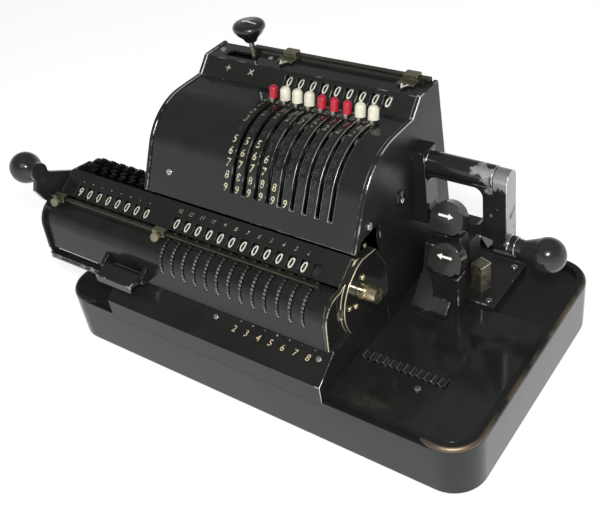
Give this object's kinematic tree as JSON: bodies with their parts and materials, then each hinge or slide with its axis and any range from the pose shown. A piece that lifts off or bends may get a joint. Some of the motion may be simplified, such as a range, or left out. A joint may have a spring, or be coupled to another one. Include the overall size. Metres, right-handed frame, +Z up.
{
  "type": "mechanical calculator",
  "caption": "Crank-driven desk calculating machine: setting levers in a curved slotted cover, shifting carriage with number dials and thumbwheels, on a flat cast base.",
  "frame": {"origin": "on the table, under the middle of the overall box", "axes": "+X to the user's right along the base, +Y to the back, +Z up"},
  "size_m": [0.3675, 0.1816, 0.194],
  "materials": {
    "black_enamel": "gloss, worn at edges",
    "bright_steel": "satin",
    "dark_steel": "knurled, oiled",
    "bronzed_steel": "worn",
    "pale_brass": "satin",
    "foot_rubber": "matte",
    "black_plastic": "polished",
    "dial_black": "black with ivory numbers",
    "red_cap": "gloss",
    "ivory_cap": "gloss"
  },
  "bodies": {
    "machine": {"base_casting": "black_enamel", "bottom_plate": "black_enamel", "base_cover_plate": "black_enamel", "rubber_feet": "foot_rubber", "carriage_bed": "black_enamel", "guide_bar": "bright_steel", "shift_rack": "bright_steel", "left_side_plate": "black_enamel", "right_side_plate": "black_enamel", "slotted_cover": "black_enamel", "top_panel": "black_enamel", "rear_cover": "black_enamel", "upper_marker_rail": "bronzed_steel", "crank_bracket": "black_enamel", "key_block": "black_enamel", "stop_block": "bronzed_steel", "check_dials": "dial_black"},
    "main_shaft": {"main_shaft": "bright_steel"},
    "crank": {"crank_arm": "bright_steel"},
    "grip": {"crank_grip": "black_plastic"},
    "setting_lever_1": {"setting_lever_1": "ivory_cap"},
    "setting_lever_2": {"setting_lever_2": "ivory_cap"},
    "setting_lever_3": {"setting_lever_3": "red_cap"},
    "setting_lever_4": {"setting_lever_4": "red_cap"},
    "setting_lever_5": {"setting_lever_5": "red_cap"},
    "setting_lever_6": {"setting_lever_6": "ivory_cap"},
    "setting_lever_7": {"setting_lever_7": "ivory_cap"},
    "setting_lever_8": {"setting_lever_8": "ivory_cap"},
    "setting_lever_9": {"setting_lever_9": "red_cap"},
    "selector": {"selector_lever": "black_enamel"},
    "left_key": {"left_shift_key": "black_plastic"},
    "right_key": {"right_shift_key": "black_plastic"},
    "upper_marker_left": {"upper_marker_left": "pale_brass"},
    "upper_marker_right": {"upper_marker_right": "pale_brass"},
    "carriage": {"carriage_face": "black_enamel", "carriage_shell": "black_enamel", "carriage_frame": "black_enamel", "carriage_end_plates": "black_enamel", "lower_marker_rail": "bronzed_steel", "carriage_shafts": "bright_steel", "number_dials": "dial_black", "counter_gears": "bright_steel"},
    "thumbwheel_1": {"thumbwheel_1": "dark_steel"},
    "thumbwheel_2": {"thumbwheel_2": "dark_steel"},
    "thumbwheel_3": {"thumbwheel_3": "dark_steel"},
    "thumbwheel_4": {"thumbwheel_4": "dark_steel"},
    "thumbwheel_5": {"thumbwheel_5": "dark_steel"},
    "thumbwheel_6": {"thumbwheel_6": "dark_steel"},
    "thumbwheel_7": {"thumbwheel_7": "dark_steel"},
    "thumbwheel_8": {"thumbwheel_8": "dark_steel"},
    "thumbwheel_9": {"thumbwheel_9": "dark_steel"},
    "thumbwheel_10": {"thumbwheel_10": "dark_steel"},
    "thumbwheel_11": {"thumbwheel_11": "dark_steel"},
    "thumbwheel_12": {"thumbwheel_12": "dark_steel"},
    "thumbwheel_13": {"thumbwheel_13": "dark_steel"},
    "counter_clear_lever": {"counter_clear_lever": "black_plastic"},
    "result_clear_knob": {"result_clear_knob": "pale_brass"},
    "carriage_handle": {"carriage_handle": "black_enamel"},
    "lower_marker_left": {"lower_marker_left": "pale_brass"},
    "lower_marker_right": {"lower_marker_right": "pale_brass"}
  },
  "joints": [
    {"name": "crank_turn", "type": "hinge", "parent": "machine", "child": "crank", "pos_m": [0.14275, 0.0385, 0.1305], "axis": [1, 0, 0], "continuous": true},
    {"name": "grip_spin", "type": "hinge", "parent": "crank", "child": "grip", "pos_m": [0.16725, 0.0385, 0.0835], "axis": [1, 0, 0], "continuous": true},
    {"name": "main_shaft_turn", "type": "hinge", "parent": "machine", "child": "main_shaft", "pos_m": [0.07625, 0.015, 0.116], "axis": [1, 0, 0], "continuous": true},
    {"name": "setting_lever_1_swing", "type": "hinge", "parent": "machine", "child": "setting_lever_1", "pos_m": [0.06525, 0.015, 0.116], "axis": [1, 0, 0], "range_deg": [0, 91]},
    {"name": "setting_lever_2_swing", "type": "hinge", "parent": "machine", "child": "setting_lever_2", "pos_m": [0.05595, 0.015, 0.116], "axis": [1, 0, 0], "range_deg": [0, 91]},
    {"name": "setting_lever_3_swing", "type": "hinge", "parent": "machine", "child": "setting_lever_3", "pos_m": [0.04665, 0.015, 0.116], "axis": [1, 0, 0], "range_deg": [0, 91]},
    {"name": "setting_lever_4_swing", "type": "hinge", "parent": "machine", "child": "setting_lever_4", "pos_m": [0.03735, 0.015, 0.116], "axis": [1, 0, 0], "range_deg": [0, 91]},
    {"name": "setting_lever_5_swing", "type": "hinge", "parent": "machine", "child": "setting_lever_5", "pos_m": [0.02805, 0.015, 0.116], "axis": [1, 0, 0], "range_deg": [0, 91]},
    {"name": "setting_lever_6_swing", "type": "hinge", "parent": "machine", "child": "setting_lever_6", "pos_m": [0.01875, 0.015, 0.116], "axis": [1, 0, 0], "range_deg": [0, 91]},
    {"name": "setting_lever_7_swing", "type": "hinge", "parent": "machine", "child": "setting_lever_7", "pos_m": [0.00945, 0.015, 0.116], "axis": [1, 0, 0], "range_deg": [0, 91]},
    {"name": "setting_lever_8_swing", "type": "hinge", "parent": "machine", "child": "setting_lever_8", "pos_m": [0.00015, 0.015, 0.116], "axis": [1, 0, 0], "range_deg": [0, 91]},
    {"name": "setting_lever_9_swing", "type": "hinge", "parent": "machine", "child": "setting_lever_9", "pos_m": [-0.00915, 0.015, 0.116], "axis": [1, 0, 0], "range_deg": [0, 91]},
    {"name": "selector_swing", "type": "hinge", "parent": "machine", "child": "selector", "pos_m": [-0.04575, 0.055, 0.12], "axis": [0, 1, 0], "range_deg": [-20, 0]},
    {"name": "left_key_press", "type": "slide", "parent": "machine", "child": "left_key", "axis": [0, 0, -1], "range_m": [0, 0.003], "stiffness_N_per_m": 200, "springref_m": -0.004},
    {"name": "right_key_press", "type": "slide", "parent": "machine", "child": "right_key", "axis": [0, 0, -1], "range_m": [0, 0.003], "stiffness_N_per_m": 200, "springref_m": -0.004},
    {"name": "upper_marker_left_slide", "type": "slide", "parent": "machine", "child": "upper_marker_left", "axis": [1, 0, 0], "range_m": [-0.014, 0.034]},
    {"name": "upper_marker_right_slide", "type": "slide", "parent": "machine", "child": "upper_marker_right", "axis": [1, 0, 0], "range_m": [-0.04, 0.003]},
    {"name": "carriage_shift", "type": "slide", "parent": "machine", "child": "carriage", "axis": [1, 0, 0], "range_m": [0, 0.0651]},
    {"name": "thumbwheel_1_spin", "type": "hinge", "parent": "carriage", "child": "thumbwheel_1", "pos_m": [0.0699, -0.059, 0.081], "axis": [1, 0, 0], "continuous": true},
    {"name": "thumbwheel_2_spin", "type": "hinge", "parent": "carriage", "child": "thumbwheel_2", "pos_m": [0.0606, -0.059, 0.081], "axis": [1, 0, 0], "continuous": true},
    {"name": "thumbwheel_3_spin", "type": "hinge", "parent": "carriage", "child": "thumbwheel_3", "pos_m": [0.0513, -0.059, 0.081], "axis": [1, 0, 0], "continuous": true},
    {"name": "thumbwheel_4_spin", "type": "hinge", "parent": "carriage", "child": "thumbwheel_4", "pos_m": [0.042, -0.059, 0.081], "axis": [1, 0, 0], "continuous": true},
    {"name": "thumbwheel_5_spin", "type": "hinge", "parent": "carriage", "child": "thumbwheel_5", "pos_m": [0.0327, -0.059, 0.081], "axis": [1, 0, 0], "continuous": true},
    {"name": "thumbwheel_6_spin", "type": "hinge", "parent": "carriage", "child": "thumbwheel_6", "pos_m": [0.0234, -0.059, 0.081], "axis": [1, 0, 0], "continuous": true},
    {"name": "thumbwheel_7_spin", "type": "hinge", "parent": "carriage", "child": "thumbwheel_7", "pos_m": [0.0141, -0.059, 0.081], "axis": [1, 0, 0], "continuous": true},
    {"name": "thumbwheel_8_spin", "type": "hinge", "parent": "carriage", "child": "thumbwheel_8", "pos_m": [0.0048, -0.059, 0.081], "axis": [1, 0, 0], "continuous": true},
    {"name": "thumbwheel_9_spin", "type": "hinge", "parent": "carriage", "child": "thumbwheel_9", "pos_m": [-0.0045, -0.059, 0.081], "axis": [1, 0, 0], "continuous": true},
    {"name": "thumbwheel_10_spin", "type": "hinge", "parent": "carriage", "child": "thumbwheel_10", "pos_m": [-0.0138, -0.059, 0.081], "axis": [1, 0, 0], "continuous": true},
    {"name": "thumbwheel_11_spin", "type": "hinge", "parent": "carriage", "child": "thumbwheel_11", "pos_m": [-0.0231, -0.059, 0.081], "axis": [1, 0, 0], "continuous": true},
    {"name": "thumbwheel_12_spin", "type": "hinge", "parent": "carriage", "child": "thumbwheel_12", "pos_m": [-0.0324, -0.059, 0.081], "axis": [1, 0, 0], "continuous": true},
    {"name": "thumbwheel_13_spin", "type": "hinge", "parent": "carriage", "child": "thumbwheel_13", "pos_m": [-0.0417, -0.059, 0.081], "axis": [1, 0, 0], "continuous": true},
    {"name": "counter_clear_swing", "type": "hinge", "parent": "carriage", "child": "counter_clear_lever", "pos_m": [-0.15855, -0.04098, 0.08726], "axis": [1, 0, 0], "range_deg": [0, 75], "stiffness_Nm_per_rad": 0.02, "springref_deg": -34.38},
    {"name": "result_clear_turn", "type": "hinge", "parent": "carriage", "child": "result_clear_knob", "pos_m": [0.09575, -0.04098, 0.08726], "axis": [1, 0, 0], "continuous": true},
    {"name": "handle_press", "type": "hinge", "parent": "carriage", "child": "carriage_handle", "pos_m": [-0.07425, -0.079, 0.0703], "axis": [1, 0, 0], "range_deg": [0, 12], "stiffness_Nm_per_rad": 0.05, "springref_deg": -28.65},
    {"name": "lower_marker_left_slide", "type": "slide", "parent": "carriage", "child": "lower_marker_left", "axis": [1, 0, 0], "range_m": [-0.0025, 0.03]},
    {"name": "lower_marker_right_slide", "type": "slide", "parent": "carriage", "child": "lower_marker_right", "axis": [1, 0, 0], "range_m": [-0.03, 0.114]}
  ],
  "couplings": [
    {"joint": "main_shaft_turn", "follows": "crank_turn", "ratio": -1}
  ]
}
